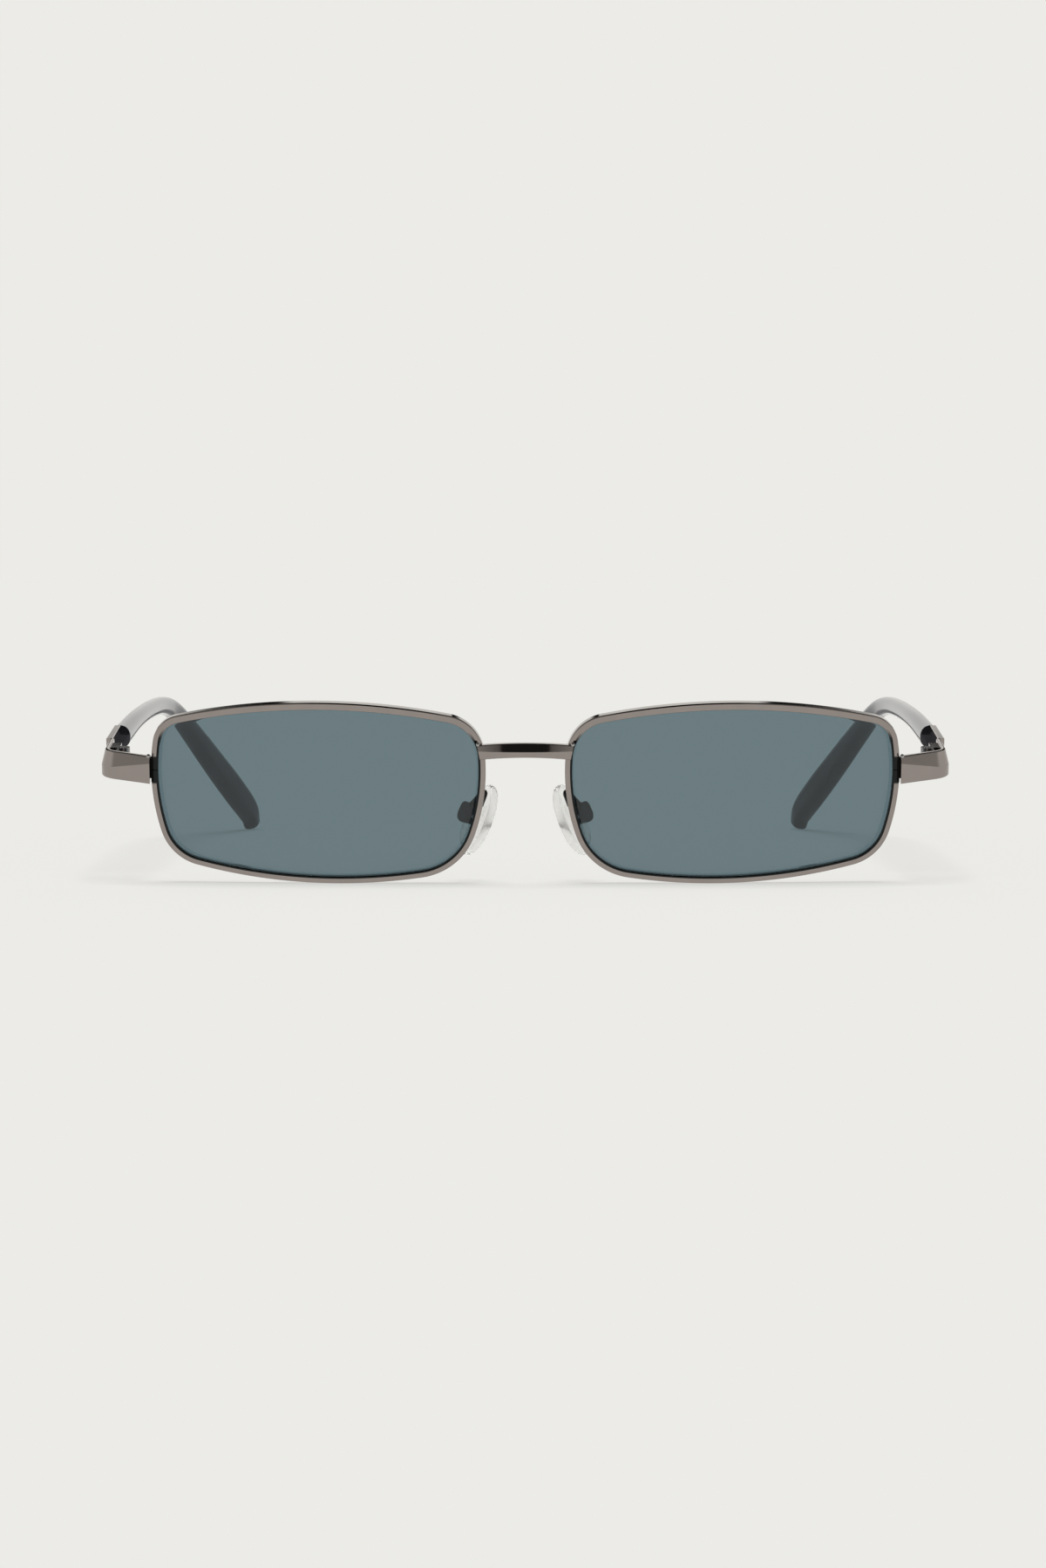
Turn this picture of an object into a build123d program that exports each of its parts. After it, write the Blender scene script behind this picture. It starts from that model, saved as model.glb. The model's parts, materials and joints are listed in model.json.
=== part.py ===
from build123d import *
from math import cos, radians, sin, sqrt, tan
import os

# Narrow rectangle metal sunglasses, in millimetres. The pieces are drawn as if the front stood upright:
# X runs sideways from the middle of the bridge, Y runs backward from the front of the rims to the wearer,
# and Z runs up from the lowest point of the rims. The last step leans the whole thing forward until
# the rims and the ear tips stand on the same floor. The side at +X is the wearer's left.

# Rim outline seen from the front: four corner points, bowed sides between them, rounded corners
top_nose_x = 7.66
top_nose_z = 27.35
top_side_x = 61.75
top_side_z = 27.03
low_side_x = 59.5
low_side_z = 3.58
low_nose_x = 11.41
low_nose_z = 1.89
bow_top = 3.6
bow_side = 2.05
bow_low = 2.72
bow_nose = 2.6
round_top_nose = 7.6
round_top_side = 5.25
round_low_side = 8.1
round_low_nose = 10.8

# Rim wire and lens
rim_width = 1.22
rim_depth = 2.1
rim_edge_round = 0.2
face_radius = 135.0
face_wrap_angle = 3.5
lens_set = 0.95
lens_thickness = 1.5
tongue_set = 1.15
tongue_thickness = 0.6
tongue_reach = 0.5
lens_clearance = 0.04

# Closing blocks at the outer side of each rim, clasping its two ends, with their screw
split_z = 18.6
split_gap = 0.12
lock_height = 2.15
lock_body_height = 1.5
lock_width = 1.15
lock_plate_width = 0.4
lock_plate_depth = 0.9
lock_front_cover = 0.14
lock_back_cover = 0.5
lock_screw_out = 0.56
lock_screw_ahead = 1.0
lock_screw_radius = 0.35
lock_head_radius = 0.52
lock_head_height = 0.3
screw_slot_width = 0.16
screw_slot_depth = 0.14
screw_clearance = 0.02

# Bridge bar across the front of the rims: bowed forward seen from above, upright below its ridge
# and leaning back above it
bridge_half_length = 8.05
bridge_end_slant = 0.5
bridge_middle_low = 21.81
bridge_middle_high = 24.17
bridge_end_low = 21.3
bridge_end_high = 23.66
bridge_ridge_z = 22.75
bridge_front_y = -0.9
bridge_bow = 0.8
bridge_thickness = 1.6
bridge_facet_angle = 18.0
bridge_ridge_round = 2.0
bridge_edge_round = 0.25

# End piece: a strip from beside the rim, rising to the corner, round it and back to the hinge. Its outer
# face is upright below a crease and leans back above it.
end_start_x = 62.75
end_start_y = 3.75
end_sweep_angle = 14.5
end_outer_x = 71.5
end_side_z = 19.35
end_height = 4.7
end_thickness = 1.4
end_crease_rise = 0.3
end_facet_angle = 14.0
end_crease_round = 0.5
end_edge_round = 0.3
end_corner_radius = 3.4
end_rise_angle = 4.6

# Hinge: a barrel of three knuckles on a screw, on leaves soldered inside the end piece and the temple
hinge_inset = 3.1
hinge_y = 14.8
hinge_drop = 0.45
knuckle_radius = 1.05
knuckle_gap = 0.06
barrel_height = 3.0
middle_knuckle_height = 1.1
hinge_screw_radius = 0.5
hinge_screw_clearance = 0.03
hinge_head_radius = 0.75
hinge_head_height = 0.3
leaf_thickness = 1.1
leaf_length = 4.2
leaf_height = 2.2
leaf_clearance = 0.15
stop_ahead = 1.25
stop_gap = 0.12

# Metal front of the temple, between the hinge and the plastic arm
plate_thickness = 1.1
plate_length = 12.9
plate_back_height = 4.15
plate_back_drop = 0.14
plate_edge_round = 0.35

# Plastic arm: stations from its front end to the ear tip, as shares of the sizes here
arm_reach = 106.0
arm_drop = 39.8
tip_tuck = 14.6
tip_height = 6.4
arm_thickness = 3.0
arm_round_share = 0.36
arm_heading_share = 0.4
arm_section_count = 20
reach_shares = (0.0, 0.254, 0.549, 0.706, 0.770, 0.833, 0.902, 0.957, 0.992, 1.0)
drop_shares = (0.0, 0.056, 0.157, 0.234, 0.300, 0.435, 0.635, 0.811, 0.925, 1.0)
tuck_shares = (0.0, -0.01, 0.0, 0.05, 0.13, 0.30, 0.57, 0.82, 0.965, 1.0)
height_shares = (0.64, 0.50, 0.50, 0.56, 0.62, 0.74, 0.88, 0.92, 0.84, 0.66)
thickness_shares = (0.915, 0.93, 0.93, 0.93, 0.95, 1.0, 1.0, 1.0, 0.98, 0.93)

# Core wire moulded into the arm, in line with the metal front
core_thickness = 0.8
core_height = 1.7
core_station_count = 18

# Nose pad, drawn with X away from the nose, Y backward and Z up, then turned and placed
pad_x = 7.95
pad_y = 8.6
pad_z = 9.1
pad_splay_angle = 28.0
pad_slant_angle = 23.0
pad_height = 12.8
pad_width = 7.3
pad_thickness = 2.2
pad_edge_round = 0.7
insert_thickness = 0.5
insert_height = 6.0
insert_width = 3.2
insert_cover = 0.4
lug_width = 1.5
lug_radius = 0.75
lug_rise = 0.8
pad_screw_radius = 0.45
pad_screw_clearance = 0.05
pad_screw_out = 1.25
pad_head_radius = 0.75
pad_head_height = 0.35
box_gap = 0.5
box_height = 3.4
box_width = 3.1
box_wall = 0.35
box_cheek = 0.6
box_round = 1.2
slot_clearance = 0.1

# Wire arm of the pad box: from the back of the rim up past its edge, then over and down to the box
pad_arm_radius = 0.5
pad_arm_bend = 0.9
pad_arm_sink = 0.6
pad_arm_root_x = 7.5
pad_arm_root_z = 13.0
pad_arm_crest_x = 6.7
pad_arm_crest_z = 14.8
pad_arm_crest_back = 1.3
pad_arm_over_x = 7.6
pad_arm_over_z = 14.4
pad_arm_over_back = 3.0

# Past this overrun every cutting shape stands clear of what it cuts
overrun = 3.0

# Search for the angle that the front leans forward by when it stands on the floor
steepest_lean_angle = 30.0
lean_halvings = 24

# Places worked out from the sizes
rim_middle_x = (top_nose_x + top_side_x) / 2
rim_middle_z = (top_nose_z + low_nose_z) / 2
wrap = radians(face_wrap_angle)
curve_centre = (
    rim_middle_x - face_radius * sin(wrap),
    face_radius * cos(wrap),
    rim_middle_z,
)
plate_front_y = hinge_y + stop_ahead + stop_gap
arm_front_y = plate_front_y + plate_length
arm_front_z = end_side_z - plate_back_drop
hinge_x = end_outer_x - hinge_inset
hinge_z = end_side_z - hinge_drop
barrel_low = hinge_z - barrel_height / 2
barrel_high = hinge_z + barrel_height / 2
middle_low = hinge_z - middle_knuckle_height / 2
middle_high = hinge_z + middle_knuckle_height / 2


def block(low, high):
    """A box between two opposite corners."""
    size = [b - a for a, b in zip(low, high)]
    middle = [(a + b) / 2 for a, b in zip(low, high)]
    return Pos(*middle) * Box(*size)


def rod(start, length, radius, turn=Rot(0, 0, 0)):
    """A round bar from a start point, along Z unless turned."""
    return Pos(*start) * turn * Cylinder(radius, length, align=(Align.CENTER, Align.CENTER, Align.MIN))


def bowed(start, end, bow):
    """An arc between two points, bowed outward, to the left of the way from start to end."""
    run_x = end[0] - start[0]
    run_z = end[1] - start[1]
    run = sqrt(run_x ** 2 + run_z ** 2)
    middle = ((start[0] + end[0]) / 2 - run_z / run * bow, (start[1] + end[1]) / 2 + run_x / run * bow)
    return ThreePointArc(start, middle, end)


def rim_outline(inset):
    """The rim's outer line as a face seen from the front, with each of its arcs drawn in by an inset."""
    top_nose = (top_nose_x, top_nose_z)
    top_side = (top_side_x, top_side_z)
    low_side = (low_side_x, low_side_z)
    low_nose = (low_nose_x, low_nose_z)
    sides = [
        bowed(top_nose, top_side, bow_top),
        bowed(top_side, low_side, bow_side),
        bowed(low_side, low_nose, bow_low),
        bowed(low_nose, top_nose, bow_nose),
    ]
    face = make_face(sides)
    rounds = ((top_nose, round_top_nose), (top_side, round_top_side),
              (low_side, round_low_side), (low_nose, round_low_nose))
    for corner, radius in rounds:
        nearest = face.vertices().sort_by_distance((corner[0], corner[1], 0))[0]
        face = fillet(nearest, radius)
    arcs = []
    for edge in face.edges():
        centre = edge.arc_center
        moved = [point + (centre - point).normalized() * inset for point in (edge @ 0, edge @ 0.5, edge @ 1)]
        arcs.append(ThreePointArc(*moved))
    return make_face(arcs)


def outline_prism(inset):
    """The outline carried straight back, from ahead of the front to behind it."""
    face = Plane.XZ.offset(overrun) * rim_outline(inset)
    return extrude(face, amount=rim_depth + end_start_y + 3 * overrun, dir=(0, 1, 0))


def curved_shell(front_set, thickness):
    """The part of the shallow bowl that lies between two distances behind its front."""
    outer = Sphere(face_radius - front_set)
    inner = Sphere(face_radius - front_set - thickness)
    return Pos(*curve_centre) * (outer - inner)


def make_rim():
    """One rim: a grooved band on the shallow bowl, split behind the end piece."""
    ring = outline_prism(0) - outline_prism(rim_width)
    rim = ring & curved_shell(0, rim_depth)
    front = rim.faces().filter_by(GeomType.SPHERE).sort_by(Axis.Y)[0]
    rim = fillet(front.edges(), rim_edge_round)
    groove_set = tongue_set - lens_clearance
    groove = outline_prism(rim_width - tongue_reach - lens_clearance)
    groove = groove & curved_shell(groove_set, tongue_thickness + 2 * lens_clearance)
    rim = rim - groove
    split = block(
        (low_side_x, -overrun, split_z - split_gap / 2),
        (top_side_x + overrun, end_start_y + rim_depth + 2 * overrun, split_z + split_gap / 2),
    )
    return rim - split


def make_lens():
    """One lens: a thin bowl with a tongue around its edge that sits in the rim's groove."""
    body = outline_prism(rim_width + lens_clearance) & curved_shell(lens_set, lens_thickness)
    tongue = outline_prism(rim_width - tongue_reach) & curved_shell(tongue_set, tongue_thickness)
    return body + tongue


def rim_space():
    """All the space inside a rim's outer line and between its front and back, filled in."""
    return outline_prism(0) & curved_shell(0, rim_depth)


def front_at(x, z):
    """How far back the front of the shallow bowl lies at a place seen from the front."""
    across = x - curve_centre[0]
    up = z - curve_centre[2]
    return curve_centre[1] - sqrt(face_radius ** 2 - across ** 2 - up ** 2)


def make_bridge():
    """The bar soldered across the front of both rims, with its upper and lower front edges rounded."""
    low_end_x = bridge_half_length - bridge_end_slant
    high = ThreePointArc(
        (-bridge_half_length, bridge_end_high), (0, bridge_middle_high), (bridge_half_length, bridge_end_high)
    )
    low = ThreePointArc((low_end_x, bridge_end_low), (0, bridge_middle_low), (-low_end_x, bridge_end_low))
    face = make_face([
        high,
        Line((bridge_half_length, bridge_end_high), (low_end_x, bridge_end_low)),
        low,
        Line((-low_end_x, bridge_end_low), (-bridge_half_length, bridge_end_high)),
    ])
    seen = extrude(Pos(0, bridge_front_y - overrun, 0) * (Plane.XZ * face), amount=3 * overrun, dir=(0, 1, 0))
    bow_radius = (bridge_half_length ** 2 + bridge_bow ** 2) / (2 * bridge_bow)
    back = bow_radius - bridge_thickness
    profile = make_face(Polyline(
        (back, bridge_ridge_z - overrun),
        (bow_radius, bridge_ridge_z - overrun),
        (bow_radius, bridge_ridge_z),
        (bow_radius - overrun * tan(radians(bridge_facet_angle)), bridge_ridge_z + overrun),
        (back, bridge_ridge_z + overrun),
        close=True,
    ).edges())
    ridge = profile.vertices().sort_by_distance((bow_radius, bridge_ridge_z, 0))[0]
    profile = fillet(ridge, bridge_ridge_round)
    ring = revolve(Plane.XZ * profile, axis=Axis.Z)
    bar = seen & (Pos(0, bridge_front_y + bow_radius, 0) * ring)
    top = bar.faces().sort_by(Axis.Z)[-1].edges().sort_by(Axis.Y)[0]
    bottom = bar.faces().sort_by(Axis.Z)[0].edges().sort_by(Axis.Y)[0]
    bar = fillet([top, bottom], bridge_edge_round)
    space = rim_space()
    return largest(bar - space - mirror(space, about=Plane.YZ))


def make_endpiece():
    """The strip that starts beside the rim, rises outward, turns the corner and ends at the hinge."""
    sweep_angle = radians(end_sweep_angle)
    corner_y = end_start_y + (end_outer_x - end_start_x) * tan(sweep_angle)
    path = FilletPolyline(
        (end_start_x, end_start_y, 0),
        (end_outer_x, corner_y, 0),
        (end_outer_x, hinge_y + stop_ahead, 0),
        radius=end_corner_radius,
    )
    half = end_height / 2
    crease = (0, end_crease_rise)
    low_edge = (0, -half)
    high_edge = (tan(radians(end_facet_angle)) * (half - end_crease_rise), half)
    face = make_face(Polyline(
        low_edge,
        crease,
        high_edge,
        (end_thickness, half),
        (end_thickness, -half),
        close=True,
    ).edges())
    for edge, radius in ((crease, end_crease_round), (low_edge, end_edge_round), (high_edge, end_edge_round)):
        nearest = face.vertices().sort_by_distance((edge[0], edge[1], 0))[0]
        face = fillet(nearest, radius)
    start = Plane(
        origin=(end_start_x, end_start_y, 0),
        x_dir=(-sin(sweep_angle), cos(sweep_angle), 0),
        z_dir=(cos(sweep_angle), sin(sweep_angle), 0),
    )
    strip = sweep(start * face, path=path)
    rise = tan(radians(end_rise_angle))
    slope = Matrix([[1, 0, 0, 0], [0, 1, 0, 0], [rise, 0, 1, end_side_z - rise * end_outer_x]])
    return largest(strip.transform_geometry(slope) - rim_space())


def make_rim_locks(rim, endpiece):
    """The upper and lower closing blocks, and the screw that draws them together.

    Each block is a plate over the front of the rim and a lower body behind it, which holds the screw.
    """
    rim_outer_x = rim.bounding_box().max.X
    inner_x = rim_outer_x - rim_width
    outer_x = rim_outer_x + lock_width
    front_y = front_at(inner_x, split_z) - lock_front_cover
    back_y = front_at(rim_outer_x, split_z) + rim_depth + lock_back_cover
    plate_outer_x = rim_outer_x + lock_plate_width
    plate_back_y = front_y + lock_plate_depth
    upper_low = split_z + split_gap / 2
    lower_high = split_z - split_gap / 2
    top = upper_low + lock_body_height
    low = lower_high - lock_body_height
    plate_top = upper_low + lock_height
    plate_low = lower_high - lock_height
    upper_plate = block((inner_x, front_y, upper_low), (plate_outer_x, plate_back_y, plate_top))
    lower_plate = block((inner_x, front_y, plate_low), (plate_outer_x, plate_back_y, lower_high))
    upper = upper_plate + block((inner_x, front_y, upper_low), (outer_x, back_y, top))
    lower = lower_plate + block((inner_x, front_y, low), (outer_x, back_y, lower_high))
    screw_x = rim_outer_x + lock_screw_out
    screw_y = back_y - lock_screw_ahead
    hole = rod((screw_x, screw_y, low), top - low, lock_screw_radius + screw_clearance)
    shank = rod((screw_x, screw_y, low), top - low, lock_screw_radius)
    head = rod((screw_x, screw_y, top), lock_head_height, lock_head_radius)
    slot = Pos(screw_x, screw_y, top + lock_head_height) * Box(
        2 * lock_head_radius, screw_slot_width, 2 * screw_slot_depth
    )
    screw = shank + head - slot
    space = rim_space()
    upper = largest(upper - space - endpiece - hole)
    lower = largest(lower - space - endpiece - hole)
    return upper, lower, screw


def largest(shape):
    """The biggest solid of a shape, where a cut leaves crumbs."""
    return max(shape.solids(), key=lambda solid: solid.volume)


def make_front_leaf(endpiece):
    """The leaf soldered inside the end piece, with the top and bottom knuckles."""
    inner_x = end_outer_x - end_thickness - leaf_thickness
    base_back = hinge_y - knuckle_radius - leaf_clearance
    base = block(
        (inner_x, base_back - leaf_length, hinge_z - leaf_height / 2),
        (end_outer_x - end_thickness / 2, base_back, hinge_z + leaf_height / 2),
    )
    leaf = base
    for low, high in ((barrel_low, middle_low - knuckle_gap), (middle_high + knuckle_gap, barrel_high)):
        knuckle = rod((hinge_x, hinge_y, low), high - low, knuckle_radius)
        web = block((inner_x, base_back - leaf_length / 2, low), (hinge_x + knuckle_radius, hinge_y, high))
        leaf = leaf + knuckle + web
    leaf = leaf - rod((hinge_x, hinge_y, barrel_low), barrel_height, hinge_screw_radius + screw_clearance)
    head_low = barrel_high - hinge_head_height
    head_room = rod((hinge_x, hinge_y, head_low), hinge_head_height, hinge_head_radius + screw_clearance)
    return largest(leaf - head_room - endpiece)


def make_temple_leaf(plate):
    """The leaf soldered inside the temple's metal front, with the middle knuckle."""
    inner_x = end_outer_x - plate_thickness - leaf_thickness
    base = block(
        (inner_x, plate_front_y, hinge_z - leaf_height / 2),
        (end_outer_x - plate_thickness / 2, plate_front_y + leaf_length, hinge_z + leaf_height / 2),
    )
    web_back = plate_front_y + leaf_length / 2
    hole_radius = hinge_screw_radius + hinge_screw_clearance
    knuckle = rod((hinge_x, hinge_y, middle_low), middle_knuckle_height, knuckle_radius)
    web = block((hinge_x, hinge_y, middle_low), (hinge_x + knuckle_radius, web_back, middle_high))
    hole = rod((hinge_x, hinge_y, middle_low), middle_knuckle_height, hole_radius)
    return largest(base + knuckle + web - hole - plate)


def make_hinge_screw():
    """The hinge screw: a shank through the three knuckles and a slotted head let into the top one."""
    top = barrel_high
    shank = rod((hinge_x, hinge_y, barrel_low), barrel_height, hinge_screw_radius)
    head = rod((hinge_x, hinge_y, top - hinge_head_height), hinge_head_height, hinge_head_radius)
    slot = Pos(hinge_x, hinge_y, top) * Box(2 * hinge_head_radius, screw_slot_width, 2 * screw_slot_depth)
    return shank + head - slot


def make_temple_front():
    """The metal plate from the hinge stop to the plastic arm."""
    half = end_height / 2
    back_half = plate_back_height / 2
    face = make_face(Polyline(
        (plate_front_y, end_side_z - half),
        (arm_front_y, arm_front_z - back_half),
        (arm_front_y, arm_front_z + back_half),
        (plate_front_y, end_side_z + half),
        close=True,
    ).edges())
    plate = extrude(Pos(end_outer_x, 0, 0) * (Plane.YZ * face), amount=-plate_thickness)
    outer = plate.edges().group_by(Axis.X)[-1].filter_by(Axis.Z, reverse=True)
    return fillet(outer, plate_edge_round)


def arm_points():
    """Centre points of the arm at the chosen stations, and the length run from the first to each."""
    first_x = end_outer_x - arm_thickness * thickness_shares[0] / 2
    points = []
    for reach, drop, tuck in zip(reach_shares, drop_shares, tuck_shares):
        x = first_x - tip_tuck * tuck
        y = arm_front_y + arm_reach * reach
        z = arm_front_z - arm_drop * drop
        points.append((x, y, z))
    lengths = [0.0]
    for near, far in zip(points, points[1:]):
        lengths.append(lengths[-1] + (Vector(*far) - Vector(*near)).length)
    return points, lengths


def eased(lengths, values, at):
    """A smooth curve through the values: a cubic on each span, with slopes shared at the stations."""
    last = len(lengths) - 1
    span = max(place for place in range(last) if lengths[place] <= at or place == 0)
    slopes = []
    for place in (span, span + 1):
        before = max(place - 1, 0)
        after = min(place + 1, last)
        slopes.append((values[after] - values[before]) / (lengths[after] - lengths[before]))
    run = lengths[span + 1] - lengths[span]
    part = (at - lengths[span]) / run
    start_weight = 2 * part ** 3 - 3 * part ** 2 + 1
    lead = (part ** 3 - 2 * part ** 2 + part) * run * slopes[0]
    trail = (part ** 3 - part ** 2) * run * slopes[1]
    return values[span] * start_weight + values[span + 1] * (1 - start_weight) + lead + trail


def arm_stations():
    """Centre, direction, height and thickness of the arm at evenly spaced places."""
    points, lengths = arm_points()
    step = lengths[-1] / (arm_section_count - 1)
    centres = []
    for count in range(arm_section_count):
        at = min(step * count, lengths[-1])
        centres.append(Vector(*[eased(lengths, [point[axis] for point in points], at) for axis in range(3)]))
    stations = []
    for place, centre in enumerate(centres):
        before = centres[max(place - 1, 0)]
        after = centres[min(place + 1, arm_section_count - 1)]
        way = (after - before).normalized()
        if place == 0:
            way = Vector(0, 1, 0)
        at = min(step * place, lengths[-1])
        height = tip_height * eased(lengths, height_shares, at)
        thickness = arm_thickness * eased(lengths, thickness_shares, at)
        stations.append((centre, way, height, thickness))
    return stations


def station_plane(point, way):
    """The plane across the arm at a station, with its X axis outward.

    The axis keeps a share of its heading straight back, so that it turns less where the arm points down.
    """
    heading = way + Vector(0, arm_heading_share, 0)
    return Plane(origin=point, x_dir=heading.cross(Vector(0, 0, 1)).normalized(), z_dir=way)


def make_temple_core():
    """The flat wire that runs inside the plastic arm and lets its tip be bent to fit."""
    sections = []
    for place, station in enumerate(arm_stations()[:core_station_count]):
        point, way = station[:2]
        if place == 0:
            point = Vector(end_outer_x - plate_thickness / 2, point.Y, point.Z)
        sections.append(station_plane(point, way) * Rectangle(core_thickness, core_height))
    return loft(sections)


def make_temple_arm(core):
    """The glossy plastic arm, thin along the side and wide at the ear tip, moulded round its core."""
    sections = []
    for point, way, height, thickness in arm_stations():
        corner = arm_round_share * thickness
        sections.append(station_plane(point, way) * RectangleRounded(thickness, height, corner))
    return largest(loft(sections) - core)


pad_place = Pos(pad_x, pad_y, pad_z) * Rot(0, -pad_slant_angle, 0) * Rot(0, 0, -pad_splay_angle)
pad_back = pad_thickness / 2
screw_line_x = pad_back + pad_screw_out
box_near = pad_back + box_gap
box_far = screw_line_x + lug_radius + slot_clearance + box_wall
insert_near = pad_back - insert_cover - insert_thickness


def make_pad_core():
    """The stiff insert in the pad, with the round lug that the pad screw passes through."""
    insert = block(
        (insert_near, -insert_width / 2, -insert_height / 2),
        (insert_near + insert_thickness, insert_width / 2, insert_height / 2),
    )
    shank = block(
        (insert_near, -lug_width / 2, lug_rise - lug_radius),
        (screw_line_x, lug_width / 2, lug_rise + lug_radius),
    )
    along = Rot(-90, 0, 0)
    hole_radius = pad_screw_radius + pad_screw_clearance
    eye = rod((screw_line_x, -lug_width / 2, lug_rise), lug_width, lug_radius, along)
    hole = rod((screw_line_x, -lug_width / 2, lug_rise), lug_width, hole_radius, along)
    return insert + shank + eye - hole


def make_pad(core):
    """The clear silicone pad: an oval cushion with rounded edges."""
    oval = Plane.YZ * Ellipse(pad_width / 2, pad_height / 2)
    cushion = extrude(Pos(-pad_back, 0, 0) * oval, amount=pad_thickness)
    cushion = fillet(cushion.edges().filter_by(GeomType.ELLIPSE), pad_edge_round)
    return largest(cushion - core)


def make_pad_box():
    """The open box that the lug swings in, with a screw hole through both cheeks."""
    low = lug_rise - box_height / 2
    high = lug_rise + box_height / 2
    outer = block((box_near, -box_width / 2, low), (box_far, box_width / 2, high))
    outer = fillet(outer.edges().filter_by(Axis.X), box_round)
    room = box_width / 2 - box_cheek
    slot = block((box_near, -room, low + box_wall), (box_far - box_wall, room, high - box_wall))
    along = Rot(-90, 0, 0)
    hole = rod((screw_line_x, -box_width / 2, lug_rise), box_width, pad_screw_radius + screw_clearance, along)
    return outer - slot - hole


def make_pad_screw():
    """The cross screw that the pad rocks on, with its head on the wearer's side."""
    along = Rot(-90, 0, 0)
    shank = rod((screw_line_x, -box_width / 2, lug_rise), box_width, pad_screw_radius, along)
    head = rod((screw_line_x, box_width / 2, lug_rise), pad_head_height, pad_head_radius, along)
    slot = Pos(screw_line_x, box_width / 2 + pad_head_height, lug_rise) * Box(
        2 * pad_head_radius, 2 * screw_slot_depth, screw_slot_width
    )
    return shank + head - slot


def make_pad_arm(rim, pad_box):
    """The bent wire from the back of the rim to the top of the pad box."""
    rim_back = front_at(pad_arm_root_x, pad_arm_root_z) + rim_depth
    box_top = lug_rise + box_height / 2 - box_wall
    target = (pad_place * Pos((box_near + box_far) / 2, 0, box_top)).position
    points = [
        Vector(pad_arm_root_x, rim_back - pad_arm_sink, pad_arm_root_z),
        Vector(pad_arm_crest_x, rim_back + pad_arm_crest_back, pad_arm_crest_z),
        Vector(pad_arm_over_x, rim_back + pad_arm_over_back, pad_arm_over_z),
        target,
    ]
    path = FilletPolyline(*points, radius=pad_arm_bend)
    circle = Plane(origin=points[0], z_dir=points[1] - points[0]) * Circle(pad_arm_radius)
    wire = sweep(circle, path=path)
    return largest(wire - rim - pad_box)


def both_sides(name, shape):
    """A piece for each side: as drawn on the wearer's left, mirrored on the right."""
    return {name + "_left": shape, name + "_right": mirror(shape, about=Plane.YZ)}


def build_pieces():
    """Every piece by its node name, with the front still upright."""
    pieces = {}
    rim = make_rim()
    pieces.update(both_sides("rim", rim))
    pieces.update(both_sides("lens", make_lens()))
    pieces["bridge"] = make_bridge()
    endpiece = make_endpiece()
    pieces.update(both_sides("endpiece", endpiece))
    upper, lower, lock_screw = make_rim_locks(rim, endpiece)
    pieces.update(both_sides("rim_lock_upper", upper))
    pieces.update(both_sides("rim_lock_lower", lower))
    pieces.update(both_sides("hinge_front_leaf", make_front_leaf(endpiece)))
    plate = make_temple_front()
    pieces.update(both_sides("temple_front", plate))
    pieces.update(both_sides("hinge_temple_leaf", make_temple_leaf(plate)))
    core = make_temple_core()
    pieces.update(both_sides("temple_core", core))
    pieces.update(both_sides("temple_arm", make_temple_arm(core)))
    pad_core = make_pad_core()
    pad_box = pad_place * make_pad_box()
    pieces.update(both_sides("nose_pad_core", pad_place * pad_core))
    pieces.update(both_sides("nose_pad", pad_place * make_pad(pad_core)))
    pieces.update(both_sides("pad_box", pad_box))
    pieces.update(both_sides("pad_arm", make_pad_arm(rim, pad_box)))
    screws = {
        "rim_lock_screws": lock_screw,
        "hinge_screws": make_hinge_screw(),
        "pad_screws": pad_place * make_pad_screw(),
    }
    for name, screw in screws.items():
        pieces[name] = Compound([largest(screw), largest(mirror(screw, about=Plane.YZ))])
    return pieces


def lowest(shape, turn):
    """How low a piece reaches once it is turned."""
    return (turn * shape).bounding_box().min.Z


def resting_lean(pieces):
    """The forward lean at which the rims and the ear tips stand on one floor, found by halving."""
    small = 0.0
    large = steepest_lean_angle
    for _ in range(lean_halvings):
        middle = (small + large) / 2
        turn = Rot(middle, 0, 0)
        if lowest(pieces["temple_arm_left"], turn) < lowest(pieces["rim_left"], turn):
            small = middle
        else:
            large = middle
    return (small + large) / 2


def main():
    """Builds the pieces, stands them on the floor, writes one file each and prints the joint axes."""
    pieces = build_pieces()
    lean = resting_lean(pieces)
    turn = Rot(lean, 0, 0)
    boxes = [(turn * shape).bounding_box() for shape in pieces.values()]
    middle_y = (min(box.min.Y for box in boxes) + max(box.max.Y for box in boxes)) / 2
    floor_z = min(box.min.Z for box in boxes)
    place = Pos(0, -middle_y, -floor_z) * turn
    os.makedirs("parts", exist_ok=True)
    for name, shape in pieces.items():
        export_step(place * shape, "parts/" + name + ".step")
    print("lean", round(lean, 3))
    hinge = (place * Pos(hinge_x, hinge_y, hinge_z)).position
    upward = (place * Pos(hinge_x, hinge_y, hinge_z + barrel_height)).position - hinge
    print("hinge", hinge, "axis", upward.normalized())
    pivot = (place * pad_place * Pos(screw_line_x, 0, lug_rise)).position
    along = (place * pad_place * Pos(screw_line_x, box_width, lug_rise)).position - pivot
    print("pad pivot", pivot, "axis", along.normalized())


main()
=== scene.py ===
"""Narrow rectangle metal sunglasses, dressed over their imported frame.

Every surface is worked out while the front stands upright: X runs sideways from the middle of the bridge,
Y runs backward from the front of the rims, Z runs up from the lowest point of the rims, all in metres.
set_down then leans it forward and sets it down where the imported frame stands.
"""

import json

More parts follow.
